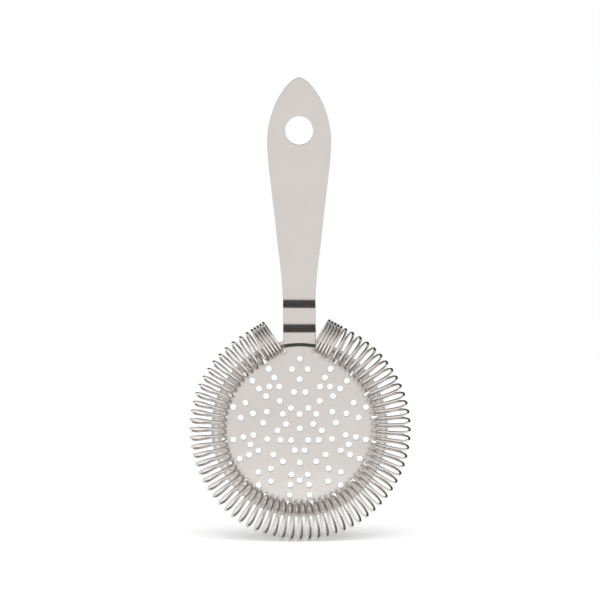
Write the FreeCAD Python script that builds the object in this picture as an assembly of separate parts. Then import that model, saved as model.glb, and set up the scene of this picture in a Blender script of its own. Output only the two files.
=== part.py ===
import FreeCAD, Part
import math
import os

V = FreeCAD.Vector

# ---------------------------------------------------------------------------
# Driving dimensions, in millimetres.
# The strainer stands on the edge of its coil: +Z runs up the handle, -Y is the
# underside, where the coil sits, and the floor is Z = 0.
# ---------------------------------------------------------------------------
SHEET = 1.3             # thickness of the stamped steel sheet
COIL_R = 35.5           # radius of the ring that the coil is bent into
TURN_R = 6.95           # radius of one turn, to the middle of the wire
WIRE_D = 1.0            # spring wire diameter
TURNS_PER_RING = 76     # open turns that a full ring would hold
TURN_LEAN = -0.15       # how far each open turn leans forward along the ring
TURN_SADDLE = 0.3       # how far its quarters bow along the ring, which rounds the tips
TIGHT_PITCH = 1.3       # spacing of the end turns
TIGHT_TURNS = 5         # close turns at each end
END_RUN = 11.0          # straight stretch at each end of the coil
RIGHT_END_DEG = 61.5    # where the ring becomes straight, right side
LEFT_END_DEG = 122.0    # where the ring becomes straight, left side
COIL_GAP = 0.3          # clear space between coil and plate
TAIL_OUT = 0.9          # each wire end stands this far behind the plate
ANCHOR_R = 0.85         # holes that the wire ends go through
POINTS_PER_TURN = 12    # the wire's line is a smooth curve through these
SPANS = 16              # lengths that the wire is built in
SPAN_GAP = 0.04         # between one length and the next

RING_Z = COIL_R + TURN_R + WIRE_D / 2      # height of the ring's centre
FACE_Y = 1.835                               # front (coil side) of the plate
COIL_Y = FACE_Y - COIL_GAP - WIRE_D / 2 - TURN_R

FACE_R = 31.6           # flat perforated face, out to here
RIM_R = 34.65           # outside edge of the plate
RIM_OUT_BEND = 1.5      # outside radius of the rim's first bend
RIM_IN_BEND = 0.7       # inside radius of the rim's second bend
RIM_BEND_DEG = 68.0
RIM_RUN = 0.2

NECK_HALF = 6.45        # half width of the neck
STEP_IN_BEND = 3.2      # inside radius of each step's upper bend
STEP_OUT_BEND = 1.6     # outside radius of each step's lower bend
STEP_BEND_DEG = 70.0
STEP_RUN = 1.25         # straight riser between the two bends
STEP_TOP_Z = 94.6       # the handle's flat ends here
TREAD_LEN = 4.75        # flat that rests on a tin's rim
NECK_ROOT_Z = 76.8      # the neck runs down into the rim as far as this

HANDLE_TOP_Z = 181.5    # tip of the handle
NECK_CUT_Z = 79.1       # plate and neck meet here
HANDLE_CUT_Z = 96.5     # neck and handle meet here
HANG_Z = 160.5          # centre of the hanging hole
HANG_R = 5.6            # its radius

HOLE_R = 1.1            # strainer hole radius
EDGE_R = 0.25           # rounded lip of every hole and of the outline

# Half widths of the handle's outline, by height.
OUTLINE = [
    (90.5, 6.45), (96.5, 6.60), (102.5, 7.05), (109.5, 7.75),
    (116.5, 8.65), (124.5, 9.50), (132.5, 10.40), (139.5, 11.25),
    (146.5, 12.05), (152.0, 12.50), (156.5, 12.66), (160.5, 12.40),
    (164.5, 11.65), (168.5, 10.45), (172.5, 8.75), (176.0, 6.65),
    (179.0, 4.20), (180.8, 1.95), (181.5, 0.0),
]


def path_points(segments, start, heading):
    """Walk a chain of straight runs and arcs; returns it as dictionaries."""
    walked = []
    p = start
    a = heading
    for kind, value, radius in segments:
        if kind == "run":
            q = (p[0] + value * math.cos(a), p[1] + value * math.sin(a))
            walked.append({"kind": "run", "a": p, "b": q, "h": a})
            p = q
        else:
            turn = math.radians(value)
            side = 1.0 if turn > 0 else -1.0
            c = (p[0] - side * radius * math.sin(a), p[1] + side * radius * math.cos(a))
            b = a + turn
            q = (c[0] + side * radius * math.sin(b), c[1] - side * radius * math.cos(b))
            walked.append({"kind": "arc", "a": p, "b": q, "c": c, "h": a, "turn": turn, "r": radius})
            p = q
            a = b
    return walked


def strip_face(walked, place):
    """The cross-section of the sheet that follows a walked middle line."""
    edges = []
    for side in (0.5 * SHEET, -0.5 * SHEET):
        for w in walked:
            h = w["h"]
            n = (-math.sin(h), math.cos(h))
            a = (w["a"][0] + side * n[0], w["a"][1] + side * n[1])
            if w["kind"] == "run":
                b = (w["b"][0] + side * n[0], w["b"][1] + side * n[1])
                edges.append(Part.LineSegment(place(*a), place(*b)).toShape())
            else:
                h2 = h + w["turn"]
                hm = h + w["turn"] / 2
                s = 1.0 if w["turn"] > 0 else -1.0
                r = w["r"] - s * side
                m = (w["c"][0] + s * r * math.sin(hm), w["c"][1] - s * r * math.cos(hm))
                b = (w["c"][0] + s * r * math.sin(h2), w["c"][1] - s * r * math.cos(h2))
                edges.append(Part.Arc(place(*a), place(*m), place(*b)).toShape())
    first = walked[0]
    last = walked[-1]
    for w, end in ((first, "a"), (last, "b")):
        h = w["h"] + (w.get("turn", 0.0) if end == "b" else 0.0)
        n = (-math.sin(h), math.cos(h))
        p = w[end]
        a = place(p[0] + 0.5 * SHEET * n[0], p[1] + 0.5 * SHEET * n[1])
        b = place(p[0] - 0.5 * SHEET * n[0], p[1] - 0.5 * SHEET * n[1])
        edges.append(Part.LineSegment(a, b).toShape())
    return Part.Face(Part.Wire(Part.__sortEdges__(edges)))


# ---------------------------------------------------------------------------
# Plate, neck and handle: one stamped sheet.
# ---------------------------------------------------------------------------
def plate_dish():
    """The round plate: a flat face with a small step back to a narrow rim."""
    mid_out = RIM_OUT_BEND - SHEET / 2
    mid_in = RIM_IN_BEND + SHEET / 2
    swing = math.radians(RIM_BEND_DEG)
    used = (mid_out + mid_in) * math.sin(swing) + RIM_RUN * math.cos(swing)
    parts = [
        ("run", FACE_R, 0),
        ("arc", RIM_BEND_DEG, mid_out),
        ("run", RIM_RUN, 0),
        ("arc", -RIM_BEND_DEG, mid_in),
        ("run", RIM_R - FACE_R - used, 0),
    ]
    walked = path_points(parts, (0.0, FACE_Y + SHEET / 2), 0.0)
    face = strip_face(walked, lambda r, y: V(r, y, RING_Z))
    dish = face.revolve(V(0, 0, RING_Z), V(0, 1, 0), 360)
    return dish, walked[-1]["b"][1]


def neck_and_handle(rim_y):
    """The strip that climbs two steps from the rim and becomes the handle."""
    mid_in = STEP_IN_BEND + SHEET / 2
    mid_out = STEP_OUT_BEND - SHEET / 2
    swing = math.radians(STEP_BEND_DEG)
    drop = (mid_in + mid_out) * math.sin(swing) + STEP_RUN * math.cos(swing)
    back = (mid_in + mid_out) * (1 - math.cos(swing)) + STEP_RUN * math.sin(swing)
    handle_y = rim_y + 2 * back
    step = [
        ("arc", -STEP_BEND_DEG, mid_in),
        ("run", STEP_RUN, 0),
        ("arc", STEP_BEND_DEG, mid_out),
    ]
    root = STEP_TOP_Z - 2 * drop - TREAD_LEN - NECK_ROOT_Z
    parts = [("run", HANDLE_TOP_Z + 2 - STEP_TOP_Z, 0)] + step
    parts = parts + [("run", TREAD_LEN, 0)] + step + [("run", root, 0)]
    start = (handle_y, HANDLE_TOP_Z + 2)
    walked = path_points(parts, start, -math.pi / 2)
    side = strip_face(walked, lambda y, z: V(-20, y, z))
    strip = side.extrude(V(40, 0, 0))
    right = [V(w, 0, z) for z, w in OUTLINE]
    left = [V(-w, 0, z) for z, w in reversed(OUTLINE[:-1])]
    curve = Part.BSplineCurve()
    curve.interpolate(Points=right + left)
    foot = NECK_ROOT_Z - 1
    corners = [left[-1], V(-NECK_HALF, 0, foot), V(NECK_HALF, 0, foot), right[0]]
    edges = [curve.toShape()]
    for a, b in zip(corners[:-1], corners[1:]):
        edges.append(Part.LineSegment(a, b).toShape())
    outline = Part.Face(Part.Wire(Part.__sortEdges__(edges)))
    blade = outline.extrude(V(0, 40, 0))
    print("handle back at y", round(handle_y + SHEET / 2, 2), "step back", round(back, 2))
    return strip.common(blade), handle_y, handle_y - back


def lipped_cutter(x, z, r, front, lip):
    """A round hole's cutter, flared at both faces so the lips come out rounded."""
    back = front + SHEET
    outer = r + lip
    p = [
        V(0, front - 1, 0), V(outer, front - 1, 0), V(outer, front, 0),
        V(r, front + lip, 0), V(r, back - lip, 0), V(outer, back, 0),
        V(outer, back + 1, 0), V(0, back + 1, 0),
    ]
    d = lip * (1 - math.sqrt(0.5))
    m1 = V(r + d, front + d, 0)
    m2 = V(r + d, back - d, 0)
    edges = [
        Part.LineSegment(p[0], p[1]).toShape(),
        Part.LineSegment(p[1], p[2]).toShape(),
        Part.Arc(p[2], m1, p[3]).toShape(),
        Part.LineSegment(p[3], p[4]).toShape(),
        Part.Arc(p[4], m2, p[5]).toShape(),
        Part.LineSegment(p[5], p[6]).toShape(),
        Part.LineSegment(p[6], p[7]).toShape(),
        Part.LineSegment(p[7], p[0]).toShape(),
    ]
    tool = Part.Face(Part.Wire(edges)).revolve(V(0, 0, 0), V(0, 1, 0), 360)
    tool.translate(V(x, 0, z))
    return tool


def strainer_holes():
    """Centres of the strainer holes: a plain rosette with five-fold symmetry."""
    polar = [(0.0, 90.0)]
    for k in range(5):
        a = 90 + 72 * k
        b = a + 36
        polar += [(5.6, a), (8.7, a - 23), (8.7, a + 23), (13.3, b)]
        polar += [(14.4, a - 9), (14.4, a + 9)]
        for r, spread in ((18.2, 10.0), (22.2, 9.5), (26.2, 8.6)):
            polar += [(r, b - spread), (r, b + spread)]
        polar += [(20.2, b), (19.2, a), (23.4, a - 7.5), (23.4, a + 7.5), (27.2, a)]
    for k in range(20):
        a = 90 + 9 + 18 * k
        if abs((a - 90 + 180) % 360 - 180) > 20:
            polar.append((29.6, a))
    holes = []
    for r, a in polar:
        t = math.radians(a)
        holes.append((r * math.cos(t), RING_Z + r * math.sin(t)))
    return holes


# ---------------------------------------------------------------------------
# Coil spring: one wire.
# ---------------------------------------------------------------------------
def ring_frame(s, arc_len):
    """Point and outward direction of the coil's middle line, s mm along it."""
    start = math.radians(RIGHT_END_DEG)
    if s < 0:
        beta = start
        extra = s
    elif s > arc_len:
        beta = start - arc_len / COIL_R
        extra = s - arc_len
    else:
        beta = start - s / COIL_R
        extra = 0.0
    out = (math.cos(beta), math.sin(beta))
    along = (math.sin(beta), -math.cos(beta))
    x = COIL_R * out[0] + extra * along[0]
    z = COIL_R * out[1] + extra * along[1]
    return x, z, out, along


def coil_line(points_per_turn):
    """Points along the wire, from the right anchor round to the left one.

    The right end lies against the plate and runs inwards to its anchor hole.
    The left end goes straight back from its last turn's inside tip.
    """
    arc_deg = RIGHT_END_DEG + 360 - LEFT_END_DEG
    arc_len = math.radians(arc_deg) * COIL_R
    pitch = 2 * math.pi * COIL_R / TURNS_PER_RING
    pts = []
    # Open turns are counted from the bottom of the ring, where a turn touches
    # the floor, so the coil is the same on both sides of its middle.
    bottom = math.radians(RIGHT_END_DEG + 90) * COIL_R
    s = bottom
    phase = 0.0
    step = 1.0 / points_per_turn
    forward = []
    while s < arc_len + END_RUN:
        forward.append((s, phase))
        left = arc_len + END_RUN - s
        rate = pitch if left > TIGHT_TURNS * TIGHT_PITCH + 1.5 else TIGHT_PITCH
        if rate == TIGHT_PITCH and left > TIGHT_TURNS * TIGHT_PITCH:
            mix = (left - TIGHT_TURNS * TIGHT_PITCH) / 1.5
            rate = TIGHT_PITCH + (pitch - TIGHT_PITCH) * mix
        s += rate * step
        phase += step
    backward = []
    s = bottom
    phase = 0.0
    while s > -END_RUN:
        backward.append((s, phase))
        left = s + END_RUN
        rate = pitch if left > TIGHT_TURNS * TIGHT_PITCH + 1.5 else TIGHT_PITCH
        if rate == TIGHT_PITCH and left > TIGHT_TURNS * TIGHT_PITCH:
            mix = (left - TIGHT_TURNS * TIGHT_PITCH) / 1.5
            rate = TIGHT_PITCH + (pitch - TIGHT_PITCH) * mix
        s -= rate * step
        phase -= step
    both = list(reversed(backward[1:])) + forward
    lo = math.ceil(both[0][1] - 0.75 + 0.3) + 0.75
    hi = math.floor(both[-1][1] - 0.5 - 0.3) + 0.5
    # Two spare points past each end keep the curve true there; they are cut off.
    step = 1.0 / points_per_turn
    both = [b for b in both if lo - 2.5 * step <= b[1] <= hi + 2.5 * step]
    for s, phase in both:
        x, z, out, along = ring_frame(s, arc_len)
        t = 2 * math.pi * phase
        x += TURN_R * math.cos(t) * out[0]
        z += TURN_R * math.cos(t) * out[1]
        # Open turns bow a little along the ring; the tight end turns don't.
        left = min(s + END_RUN, arc_len + END_RUN - s)
        ease = min(max((left - TIGHT_TURNS * TIGHT_PITCH) / 4.0, 0.0), 1.0)
        bow = ease * (TURN_LEAN * math.sin(t) + TURN_SADDLE * math.sin(2 * t))
        x += bow * along[0]
        z += bow * along[1]
        pts.append(V(x, COIL_Y - TURN_R * math.sin(t), RING_Z + z))
    print("turns", round(hi - lo, 2), "points", len(pts))
    return pts, ring_frame(both[2][0], arc_len)


def rounded_rod(corners, radii):
    """A round wire along straight runs joined by tangent arcs."""
    edges = []
    here = corners[0]
    for k in range(1, len(corners) - 1):
        p = corners[k]
        u = (corners[k - 1] - p).normalize()
        w = (corners[k + 1] - p).normalize()
        half = u.getAngle(w) / 2
        cut = radii[k - 1] / math.tan(half)
        a = p + u * cut
        b = p + w * cut
        mid = (u + w).normalize()
        c = p + mid * (radii[k - 1] / math.sin(half))
        edges.append(Part.LineSegment(here, a).toShape())
        edges.append(Part.Arc(a, c - mid * radii[k - 1], b).toShape())
        here = b
    edges.append(Part.LineSegment(here, corners[-1]).toShape())
    heading = corners[1] - corners[0]
    section = Part.Wire([Part.Circle(corners[0], heading, WIRE_D / 2).toShape()])
    return Part.Wire(edges).makePipeShell([section], True, False)


def coil_spring():
    """The wire, in end-to-end spans, and where its two ends are anchored.

    The spring is one wire. It is built as spans of a few turns with a hair's
    breadth between them, so that its solid stays open in the middle.
    """
    pts, frame = coil_line(POINTS_PER_TURN)
    curve = Part.BSplineCurve()
    curve.interpolate(Points=pts)
    pts = pts[2:-2]
    cuts = [round(k * (len(pts) - 1) / SPANS) for k in range(SPANS + 1)]
    spans = []
    ideal = 0.0
    for a, b in zip(cuts[:-1], cuts[1:]):
        u = curve.parameter(pts[a])
        v = curve.parameter(pts[b])
        hair = SPAN_GAP / 2 / curve.getD1(u)[1].Length
        span = curve.copy()
        span.segment(u + (hair if a else 0.0), v - (hair if pts[b] != pts[-1] else 0.0))
        begin = span.value(span.FirstParameter)
        heading = span.tangent(span.FirstParameter)[0]
        section = Part.Wire([Part.Circle(begin, heading, WIRE_D / 2).toShape()])
        path = Part.Wire([span.toShape()])
        ideal += path.Length * math.pi * WIRE_D ** 2 / 4
        spans.append(path.makePipeShell([section], True, True))
    swept = sum(s.Volume for s in spans)
    print("coil volume", round(swept, 1), "ideal", round(ideal, 1))
    heading = curve.tangent(curve.parameter(pts[0]))[0]
    leaving = curve.tangent(curve.parameter(pts[-1]))[0]
    back = FACE_Y + SHEET + TAIL_OUT
    # Right tail: inward along the plate, a little sideways, then through it.
    out = V(frame[2][0], 0, frame[2][1])
    along = V(frame[3][0], 0, frame[3][1])
    start = pts[0]
    bend = start - heading * 2.4
    dive = start - out * 6.7 + along * 2.4
    dive.y = bend.y
    right = rounded_rod([start, bend, dive, V(dive.x, back, dive.z)], [4.0, 0.8])
    # Left tail: straight back through the plate from its last turn.
    far = pts[-1] + leaving * ((back - pts[-1].y) / leaving.y)
    left = rounded_rod([pts[-1], far], [])
    spans[0] = spans[0].fuse(right)
    spans[-1] = spans[-1].fuse(left)
    hit = pts[-1] + leaving * ((FACE_Y + SHEET / 2 - pts[-1].y) / leaving.y)
    solids = [s.Solids[0] for s in spans]
    return solids, [(dive.x, dive.z), (hit.x, hit.z)]


def plate_with_handle(anchors):
    """One sheet: perforated plate, stepped neck and handle, with its holes."""
    dish, rim_y = plate_dish()
    neck, handle_y, tread_y = neck_and_handle(rim_y)
    sheet = dish.fuse(neck).removeSplitter()
    tools = []
    for x, z in strainer_holes():
        near = [math.hypot(x - a, z - b) for a, b in anchors]
        if min(near) > HOLE_R + ANCHOR_R + 1.0:
            tools.append(lipped_cutter(x, z, HOLE_R, FACE_Y, EDGE_R))
    for x, z in anchors:
        tools.append(lipped_cutter(x, z, ANCHOR_R, FACE_Y, 0.15))
    tools.append(lipped_cutter(0.0, HANG_Z, HANG_R, handle_y - SHEET / 2, EDGE_R))
    sheet = sheet.cut(Part.Compound(tools))
    print("strainer holes", len(tools) - 3)
    print("handle front y", round(handle_y - SHEET / 2, 3), "tread front y", round(tread_y - SHEET / 2, 3))
    return sheet


def main():
    os.makedirs("parts", exist_ok=True)
    solids, anchors = coil_spring()
    sheet = plate_with_handle(anchors)
    # The sheet is one piece. It is written in three lengths that meet face to
    # face, so that each keeps a simple solid.
    nodes = {"coil_spring": Part.Compound(solids)}
    levels = [-1.0, NECK_CUT_Z, HANDLE_CUT_Z, HANDLE_TOP_Z + 1]
    names = ["perforated_plate", "stepped_neck", "handle"]
    for name, low, high in zip(names, levels[:-1], levels[1:]):
        slab = Part.makeBox(100, 60, high - low, V(-50, -30, low))
        nodes[name] = sheet.common(slab).Solids[0]
    for name, shape in nodes.items():
        box = shape.optimalBoundingBox(False)
        valid = all(s.isValid() for s in shape.Solids)
        print(name, "valid", valid, "solids", len(shape.Solids), "volume", round(shape.Volume, 1))
        print("  x", round(box.XMin, 2), round(box.XMax, 2), "y", round(box.YMin, 2), round(box.YMax, 2))
        print("  z", round(box.ZMin, 2), round(box.ZMax, 2))
        shape.exportStep("parts/" + name + ".step")


if __name__ == "__main__":
    main()
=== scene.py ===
# %% [markdown]
# # A hawthorne strainer in stainless steel
# A bartender lays this strainer over a shaker tin. It is made of two pieces:
# one stamped sheet, which is the perforated plate, the stepped neck and the
# handle together, and one long spring wire wound into a coil and bent around
# the plate. We start from the measured model, because it fixes every size and
# place, and then give each piece its finished surface.

import math

import bpy
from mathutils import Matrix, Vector


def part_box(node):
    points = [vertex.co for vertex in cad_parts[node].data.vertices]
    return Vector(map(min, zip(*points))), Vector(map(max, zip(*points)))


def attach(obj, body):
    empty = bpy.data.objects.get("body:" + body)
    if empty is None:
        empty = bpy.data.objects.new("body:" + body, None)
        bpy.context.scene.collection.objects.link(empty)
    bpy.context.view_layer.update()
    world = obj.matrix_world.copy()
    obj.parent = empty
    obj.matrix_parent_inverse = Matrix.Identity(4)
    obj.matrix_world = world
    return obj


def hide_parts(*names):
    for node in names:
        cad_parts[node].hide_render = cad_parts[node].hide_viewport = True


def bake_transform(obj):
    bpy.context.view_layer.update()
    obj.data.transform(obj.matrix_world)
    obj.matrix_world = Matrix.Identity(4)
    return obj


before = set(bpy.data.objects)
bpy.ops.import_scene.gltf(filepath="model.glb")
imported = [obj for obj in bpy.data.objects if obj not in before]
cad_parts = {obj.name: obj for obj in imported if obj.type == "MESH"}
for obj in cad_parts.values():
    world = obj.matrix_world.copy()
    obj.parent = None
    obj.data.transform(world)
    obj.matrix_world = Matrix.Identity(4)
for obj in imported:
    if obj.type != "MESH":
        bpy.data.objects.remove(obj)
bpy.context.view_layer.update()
MM = 0.001

# %% [markdown]
# ## Small helpers
# An operator works on everything that is selected, so each step first clears
# the selection and picks one object. Colours are written as hex values, the
# way a paint chart gives them, and one function turns them linear for the
# shader. One more function adds a node, sets it up and links it.


# %% Selection, colour and node helpers
def only(obj):
    """Select one object and make it the active one."""
    bpy.ops.object.select_all(action="DESELECT")
    obj.select_set(True)
    bpy.context.view_layer.objects.active = obj
    return obj


def hex_colour(text):
    """sRGB hex to linear RGBA."""
    rgb = [int(text[k : k + 2], 16) / 255 for k in (1, 3, 5)]
    lin = [c / 12.92 if c <= 0.04045 else ((c + 0.055) / 1.055) ** 2.4 for c in rgb]
    return (*lin, 1.0)


def add_node(tree, kind, values=(), links=(), **settings):
    """Add a node; values are (socket, value), links are (socket, from_socket)."""
    n = tree.nodes.new(kind)
    for key, value in settings.items():
        setattr(n, key, value)
    for key, value in values:
        n.inputs[key].default_value = value
    for key, source in links:
        tree.links.new(source, n.inputs[key])
    return n


# %% [markdown]
# ## The stamped sheet
# The plate, neck and handle are one piece of 1.3 mm sheet, pressed and then
# tumbled, so its cut edges are never knife sharp. It could be modelled again
# from a grid and a spin, but the measured model already has every hole, lip
# and bend in place. It comes as three lengths that meet face to face, so we
# copy them, join them, take out the hidden faces where they meet, and weld.

# %% Copy, join and weld the sheet
SHEET_NODES = ("perforated_plate", "stepped_neck", "handle")
NECK_FOOT_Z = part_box("stepped_neck")[0].z
HANDLE_FOOT_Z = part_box("handle")[0].z
bpy.ops.object.select_all(action="DESELECT")
for name in SHEET_NODES:
    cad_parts[name].select_set(True)
bpy.context.view_layer.objects.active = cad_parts["perforated_plate"]
bpy.ops.object.duplicate()
copies = list(bpy.context.selected_objects)
for obj in copies:
    obj.parent = None
    for key in list(obj.keys()):
        del obj[key]
bpy.context.view_layer.objects.active = copies[0]
bpy.ops.object.join()
plate = bpy.context.object
plate.name = "perforated_plate_and_handle"
bpy.ops.object.mode_set(mode="EDIT")
bpy.ops.mesh.select_mode(type="FACE")
bpy.ops.mesh.select_all(action="DESELECT")
bpy.ops.object.mode_set(mode="OBJECT")
hidden = 0
for face in plate.data.polygons:
    level = abs(face.normal.z) > 0.99
    face.select = level and min(abs(face.center.z - z) for z in (NECK_FOOT_Z, HANDLE_FOOT_Z)) < 1e-6
    hidden += face.select
bpy.ops.object.mode_set(mode="EDIT")
bpy.ops.mesh.delete(type="FACE")
bpy.ops.mesh.select_all(action="SELECT")
bpy.ops.mesh.remove_doubles(threshold=0.002 * MM)
bpy.ops.mesh.select_all(action="DESELECT")
bpy.ops.object.mode_set(mode="OBJECT")
print("hidden faces removed", hidden)

# %% [markdown]
# ## Make the mesh lighter
# The measured model spends most of its triangles on the small round lips of
# 104 holes. A Decimate modifier takes about a quarter of them away where the
# eye can't tell. The handle's flat faces are cut into long thin triangles,
# which would make the next step's bevel ragged, so they are dissolved into
# large flat faces. The perforated plate keeps its triangles, because one big
# face can't go round that many holes.

# %% Decimate the lips and dissolve the handle's flats
LIP_RATIO = 0.72
FLAT_ANGLE = math.radians(0.6)
only(plate)
lighter = plate.modifiers.new("fewer facets on the lips", "DECIMATE")
lighter.ratio = LIP_RATIO
bpy.ops.object.modifier_apply(modifier=lighter.name)
for face in plate.data.polygons:
    face.select = face.center.z > HANDLE_FOOT_Z
bpy.ops.object.mode_set(mode="EDIT")
bpy.ops.mesh.dissolve_limited(angle_limit=FLAT_ANGLE)
bpy.ops.object.mode_set(mode="OBJECT")
print("plate", len(plate.data.vertices), "points", len(plate.data.polygons), "faces")

# %% [markdown]
# ## Round the cut outline
# Light runs along the outline of a tumbled sheet as a thin bright or dark
# line, and a sharp model has no such line. The hole lips are round already,
# so only the outline's edges, where two faces meet at a right angle, get a
# bevel of a quarter of a millimetre. Weighted normals keep flat areas flat.

# %% Bevel and shade
EDGE_BEVEL = 0.25 * MM
only(plate)
bevel = plate.modifiers.new("tumbled edge", "BEVEL")
bevel.width = EDGE_BEVEL
bevel.segments = 3
bevel.limit_method = "ANGLE"
bevel.angle_limit = math.radians(60)
bevel.use_clamp_overlap = False
bpy.ops.object.modifier_apply(modifier=bevel.name)
bpy.ops.object.shade_smooth_by_angle(angle=math.radians(40))
even = plate.modifiers.new("flat faces stay flat", "WEIGHTED_NORMAL")
even.weight = 90
even.keep_sharp = True
bpy.ops.object.modifier_apply(modifier=even.name)
print("after bevel", len(plate.data.polygons), "faces")

# %% [markdown]
# ## The coil spring
# The spring is one 1 mm wire: about seventy-six turns, 15 mm across, open
# around the ring and wound close at both ends. A Screw modifier gives a
# straight helix with one pitch, and this one changes its pitch and is bent
# into a ring, so the wire's middle line is worked out turn by turn and given
# to a curve with a round bevel. Turning the curve into a mesh makes the wire
# solid.

# %% The coil's measurements
RING_R = 35.5 * MM  # the ring that the coil is bent into
TURN_R = 6.95 * MM  # one turn, to the middle of the wire
WIRE_R = 0.5 * MM
TURNS_PER_RING = 76  # open turns that a full ring would hold
PITCH = 2 * math.pi * RING_R / TURNS_PER_RING
TURN_SADDLE = 0.45 * MM  # how far a turn's quarters bow along the ring
SADDLE_EASE = 4.0 * MM  # the bow grows over this length
TIGHT_PITCH = 1.3 * MM  # spacing of the close end turns
TIGHT_TURNS = 5
PITCH_EASE = 1.5 * MM  # the spacing opens over this length
END_RUN = 11.0 * MM  # straight stretch at each end
RIGHT_END = math.radians(61.5)
LEFT_END = math.radians(122.0)
RING_Z = RING_R + TURN_R + WIRE_R
SHEET = 1.3 * MM
COIL_GAP = 0.3 * MM  # clear space between coil and plate
FACE_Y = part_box("perforated_plate")[0].y
COIL_Y = FACE_Y - COIL_GAP - WIRE_R - TURN_R
ARC = (RIGHT_END + 2 * math.pi - LEFT_END) * RING_R
STEPS = 12  # steps to a turn when the spacing is worked out
FINER = 4  # points of the wire to a step
TAIL_OUT = 0.9 * MM  # each wire end stands this far behind the plate
print("face at", round(FACE_Y / MM, 3), "coil middle at", round(COIL_Y / MM, 3))


# %% Walk along the wire
def ring_frame(s):
    """A point of the ring's middle line, its outward and its forward direction."""
    inside = min(max(s, 0.0), ARC)
    beta = RIGHT_END - inside / RING_R
    out = Vector((math.cos(beta), 0, math.sin(beta)))
    along = Vector((math.sin(beta), 0, -math.cos(beta)))
    return out * RING_R + along * (s - inside), out, along


def walk(direction):
    """Distance along the ring and turns wound, from the lowest turn to one end."""
    s = (RIGHT_END + math.pi / 2) * RING_R
    turns = 0.0
    found = []
    tight = TIGHT_TURNS * TIGHT_PITCH
    while -END_RUN < s < ARC + END_RUN:
        found.append((s, turns))
        left = ARC + END_RUN - s if direction > 0 else s + END_RUN
        mix = min(max((left - tight) / PITCH_EASE, 0.0), 1.0)
        s += direction * (TIGHT_PITCH + (PITCH - TIGHT_PITCH) * mix) / STEPS
        turns += direction / STEPS
    return found


line = list(reversed(walk(-1)[1:])) + walk(1)
first = math.ceil(line[0][1] - 0.75 + 0.3) + 0.75
last = math.floor(line[-1][1] - 0.5 - 0.3) + 0.5
line = [p for p in line if first - 1e-6 <= p[1] <= last + 1e-6]


def on_turn(s, turns):
    """Where the wire is, for a distance along the ring and a number of turns."""
    p, out, along = ring_frame(s)
    t = 2 * math.pi * turns
    y = Vector((0, COIL_Y - TURN_R * math.sin(t), RING_Z))
    left = min(s + END_RUN, ARC + END_RUN - s)
    ease = min(max((left - TIGHT_TURNS * TIGHT_PITCH) / SADDLE_EASE, 0.0), 1.0)
    bow = ease * TURN_SADDLE * math.sin(2 * t)
    return p + out * TURN_R * math.cos(t) + along * bow + y


wire = []
for (s0, t0), (s1, t1) in zip(line[:-1], line[1:]):
    for k in range(FINER):
        mix = k / FINER
        wire.append(on_turn(s0 + (s1 - s0) * mix, t0 + (t1 - t0) * mix))
wire.append(on_turn(*line[-1]))
print("turns", round(last - first, 2), "points", len(wire))

# %% [markdown]
# ## The wire's two ends
# Each end of the wire is held in a small hole in the plate. On the right the
# wire runs inwards along the plate and then turns through it; on the left it
# goes straight back from the inside of its last turn. A corner in a wire is
# always a bend with a radius, so each corner of the right end is rounded.


# %% Add the ends
def rounded(corners, radii, pieces=10):
    """The corners' line, with each inner corner swapped for an arc."""
    found = [corners[0]]
    for k in range(1, len(corners) - 1):
        p, r = corners[k], radii[k - 1]
        u = (corners[k - 1] - p).normalized()
        w = (corners[k + 1] - p).normalized()
        half = u.angle(w) / 2
        a, b = p + u * r / math.tan(half), p + w * r / math.tan(half)
        c = p + (u + w).normalized() * r / math.sin(half)
        for i in range(pieces + 1):
            q = a.lerp(b, i / pieces) - c
            found.append(c + q.normalized() * r)
    return found + [corners[-1]]


LEAD_OUT = 2.4 * MM  # the wire runs on this far past its last turn
REACH_IN = 6.7 * MM  # and then this far towards the plate's middle
SIDE_STEP = 2.4 * MM
WIDE_BEND = 4.0 * MM
SHARP_BEND = 0.8 * MM
A_LITTLE = 0.01 * MM
back_y = FACE_Y + SHEET + TAIL_OUT
out, along = ring_frame(line[0][0])[1:]
start = wire[0]
ahead = on_turn(line[0][0] + A_LITTLE, line[0][1] + A_LITTLE / TIGHT_PITCH)
heading = (ahead - start).normalized()
bend = start - heading * LEAD_OUT
dive = start - out * REACH_IN + along * SIDE_STEP
dive.y = bend.y
through = Vector((dive.x, back_y, dive.z))
right_tail = rounded([start, bend, dive, through], [WIDE_BEND, SHARP_BEND])
leaving = (wire[-1] - wire[-2]).normalized()
left_tail = wire[-1] + leaving * ((back_y - wire[-1].y) / leaving.y)
wire = list(reversed(right_tail[1:])) + wire + [left_tail]
length = sum((b - a).length for a, b in zip(wire[:-1], wire[1:]))
print("wire length", round(length / MM), "mm")

# %% Bend the wire and make it solid
bpy.ops.object.select_all(action="DESELECT")
bpy.ops.curve.primitive_nurbs_path_add(location=(0, 0, 0))
coil = bpy.context.object
coil.name = "coil_spring_wire"
coil.data.splines.clear()
spline = coil.data.splines.new("POLY")
spline.points.add(len(wire) - 1)
spline.points.foreach_set("co", [c for p in wire for c in (*p, 1.0)])
coil.data.twist_mode = "MINIMUM"
coil.data.bevel_depth = WIRE_R
coil.data.bevel_resolution = 3
coil.data.use_fill_caps = True
coil.data.resolution_u = 1
only(coil)
bpy.ops.object.convert(target="MESH")
coil = bpy.context.object
bpy.ops.object.mode_set(mode="EDIT")
bpy.ops.mesh.select_all(action="SELECT")
bpy.ops.mesh.remove_doubles(threshold=0.001 * MM)
bpy.ops.mesh.normals_make_consistent(inside=False)
bpy.ops.object.mode_set(mode="OBJECT")
bpy.ops.object.shade_smooth_by_angle(angle=math.radians(50))
print("wire mesh", len(coil.data.polygons), "faces")

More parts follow.
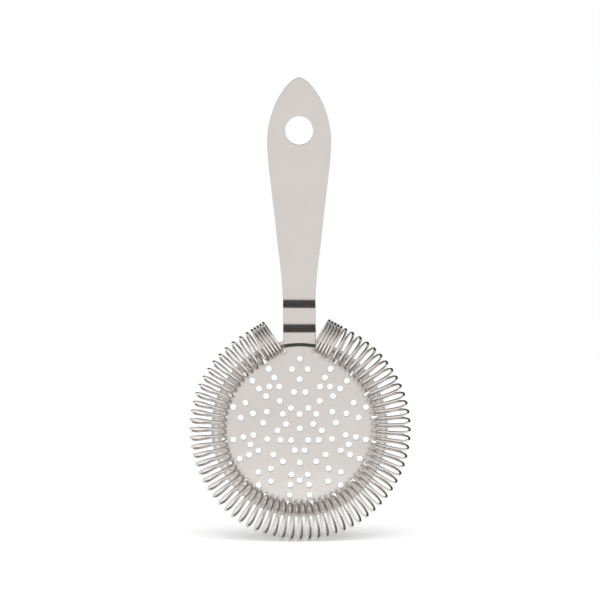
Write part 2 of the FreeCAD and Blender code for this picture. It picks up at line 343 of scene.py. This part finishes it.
# %% [markdown]
# ## Finishes
# Both pieces are bright austenitic stainless steel. The sheet was polished and
# tumbled: its reflections are clear but a little soft, with a faint cloudiness
# that changes over a few centimetres and hairlines too fine to see one by one.
# The spring wire was drawn through a die, which leaves it glossier, with faint
# lines along its length. Metals keep the shader's own IOR, and the colour is
# the reflection at normal incidence.


# %% Polished sheet steel
def steel(name, colour, roughness, cloud_mm, line_mm):
    """Polished stainless steel: soft clouds in the gloss and fine hairlines."""
    mat = bpy.data.materials.new(name)
    mat.use_nodes = True
    tree = mat.node_tree
    tree.nodes.clear()
    place = add_node(tree, "ShaderNodeTexCoord")
    clouds = add_node(
        tree,
        "ShaderNodeTexNoise",
        values=[("Scale", 1000 / cloud_mm), ("Detail", 3.0), ("Roughness", 0.55)],
        links=[("Vector", place.outputs["Object"])],
    )
    gloss = add_node(
        tree,
        "ShaderNodeMapRange",
        values=[("To Min", roughness * 0.85), ("To Max", roughness * 1.2)],
        links=[("Value", clouds.outputs["Fac"])],
    )
    stretch = add_node(
        tree,
        "ShaderNodeMapping",
        values=[("Scale", (1000 / line_mm, 1000 / line_mm, 40.0))],
        links=[("Vector", place.outputs["Object"])],
    )
    hair = add_node(
        tree,
        "ShaderNodeTexNoise",
        values=[("Scale", 1.0), ("Detail", 2.0)],
        links=[("Vector", stretch.outputs["Vector"])],
    )
    relief = add_node(
        tree,
        "ShaderNodeBump",
        values=[("Strength", 0.02), ("Distance", 0.0002)],
        links=[("Height", hair.outputs["Fac"])],
    )
    low_tone = hex_colour(colour[0])
    high_tone = hex_colour(colour[1])
    tone = add_node(
        tree,
        "ShaderNodeMix",
        data_type="RGBA",
        links=[(0, clouds.outputs["Fac"])],
    )
    tone.inputs[6].default_value = low_tone
    tone.inputs[7].default_value = high_tone
    skin = add_node(
        tree,
        "ShaderNodeBsdfPrincipled",
        values=[("Metallic", 1.0)],
        links=[
            ("Base Color", tone.outputs[2]),
            ("Roughness", gloss.outputs["Result"]),
            ("Normal", relief.outputs["Normal"]),
        ],
    )
    add_node(tree, "ShaderNodeOutputMaterial", links=[("Surface", skin.outputs["BSDF"])])
    return mat


sheet_steel = steel("tumbled stainless sheet", ("#CFCAC7", "#D9D5D2"), 0.17, 18.0, 0.35)
wire_steel = steel("drawn stainless spring wire", ("#CBC7C4", "#D8D4D1"), 0.09, 6.0, 0.2)
for obj, mat in ((plate, sheet_steel), (coil, wire_steel)):
    obj.data.materials.clear()
    obj.data.materials.append(mat)
    print(obj.name, "is", mat.name)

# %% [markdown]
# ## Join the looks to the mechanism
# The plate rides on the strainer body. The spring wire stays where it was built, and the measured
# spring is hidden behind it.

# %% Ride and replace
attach(plate, "strainer")
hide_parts(*SHEET_NODES)
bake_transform(coil)
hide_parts("coil_spring")
print("pieces placed")

# %% [markdown]
# ## Floor, light and camera
# Steel shows its surroundings, so the studio matters more than the lamps.
# The strainer stands on a white floor with white behind it. The room that the
# steel reflects is pale in front and dark overhead and behind, with one bright
# arch over the back: faces that look forward are pale, and bends that look up
# turn dark. A very soft light from the front and above casts the faint shadow
# on the floor, and isn't seen in the metal. The floor ends just in front of
# the strainer, so that the plate reflects the room and not a lit floor.

# %% The floor
FLOOR_SIZE = 8.0
FLOOR_FRONT = -0.3
bpy.ops.object.select_all(action="DESELECT")
bpy.ops.mesh.primitive_plane_add(size=FLOOR_SIZE, location=(0, FLOOR_FRONT + FLOOR_SIZE / 2, 0))
floor = bpy.context.object
floor.name = "studio_floor"
paper = bpy.data.materials.new("white studio paper")
paper.use_nodes = True
skin = paper.node_tree.nodes["Principled BSDF"]
skin.inputs["Base Color"].default_value = hex_colour("#F7F7F7")
skin.inputs["Roughness"].default_value = 0.9
floor.data.materials.append(paper)
print("floor from", FLOOR_FRONT, "m")

# %% The room in the reflections
world = bpy.data.worlds.new("studio")
bpy.context.scene.world = world
world.use_nodes = True
tree = world.node_tree
tree.nodes.clear()
ray = add_node(tree, "ShaderNodeTexCoord")
split = add_node(tree, "ShaderNodeSeparateXYZ", links=[("Vector", ray.outputs["Generated"])])
CEILING = ((0.32, 0.98), (0.54, 0.80), (0.68, 0.52), (0.76, 0.10), (0.92, 0.08))
rise = add_node(tree, "ShaderNodeValToRGB", links=[("Fac", split.outputs["Z"])])
stops = rise.color_ramp
for place, grey in CEILING:
    stop = stops.elements.new(place)
    stop.color = (grey, grey * 0.985, grey * 0.975, 1)
stops.elements[0].color = (1.0, 0.99, 0.985, 1)
stops.elements[-1].color = (0.10, 0.098, 0.096, 1)
depth = add_node(
    tree,
    "ShaderNodeMapRange",
    values=[("From Min", 0.1), ("From Max", 0.6), ("To Min", 1.0), ("To Max", 0.1)],
    links=[("Value", split.outputs["Y"])],
)
room = add_node(
    tree,
    "ShaderNodeBackground",
    links=[("Color", rise.outputs["Color"]), ("Strength", depth.outputs["Result"])],
)
ARCH = ((0.26, 0.0), (0.32, 1.0), (0.46, 1.0), (0.54, 0.0))
band = add_node(tree, "ShaderNodeValToRGB", links=[("Fac", split.outputs["Y"])])
for place, grey in ARCH:
    stop = band.color_ramp.elements.new(place)
    stop.color = (grey, grey, grey, 1)
band.color_ramp.elements[-1].color = (0, 0, 0, 1)
arch = add_node(
    tree,
    "ShaderNodeBackground",
    values=[("Strength", 1.1)],
    links=[("Color", band.outputs["Color"])],
)
lit = add_node(tree, "ShaderNodeAddShader", links=[(0, room.outputs[0]), (1, arch.outputs[0])])
white = add_node(tree, "ShaderNodeBackground", values=[("Strength", 1.0)])
white.inputs["Color"].default_value = (1, 1, 1, 1)
path = add_node(tree, "ShaderNodeLightPath")
both = add_node(
    tree,
    "ShaderNodeMixShader",
    links=[(0, path.outputs["Is Camera Ray"]), (1, lit.outputs[0]), (2, white.outputs[0])],
)
add_node(tree, "ShaderNodeOutputWorld", links=[("Surface", both.outputs["Shader"])])
print("room ready")

# %% The soft key light
bpy.ops.object.light_add(type="SUN", location=(-0.05, -0.95, 1.0))
lamp = bpy.context.object
lamp.name = "soft_key_light"
lamp.data.energy = 4.0
lamp.data.angle = math.radians(85)
lamp.rotation_euler = (-lamp.location).to_track_quat("-Z", "Y").to_euler()
lamp.visible_glossy = False
print("light ready")

# %% [markdown]
# ## The camera
# The camera looks level at the coil from three quarters of a metre. It stands
# low, so that the loops on both sides look alike, and its frame is shifted up
# to hold the whole handle.

# %% Place the camera
DISTANCE = 0.750
EYE_X = -0.0131
EYE_Z = 75.0 * MM
FRAME_MIDDLE_Z = 93.0 * MM
SENSOR = 36.0
LENS = 116.46
camera = bpy.data.objects.new("camera", bpy.data.cameras.new("camera"))
bpy.context.scene.collection.objects.link(camera)
camera.location = Vector((EYE_X, COIL_Y - DISTANCE, EYE_Z))
aim = Vector((0, COIL_Y, EYE_Z))
camera.rotation_euler = (aim - camera.location).to_track_quat("-Z", "Y").to_euler()
camera.data.sensor_width = SENSOR
camera.data.lens = LENS
camera.data.shift_y = (FRAME_MIDDLE_Z - EYE_Z) / (DISTANCE * SENSOR / LENS)
bpy.context.scene.camera = camera
bpy.context.scene.view_settings.view_transform = "Standard"
bpy.context.scene.view_settings.look = "None"
print("camera", [round(v, 4) for v in camera.location])
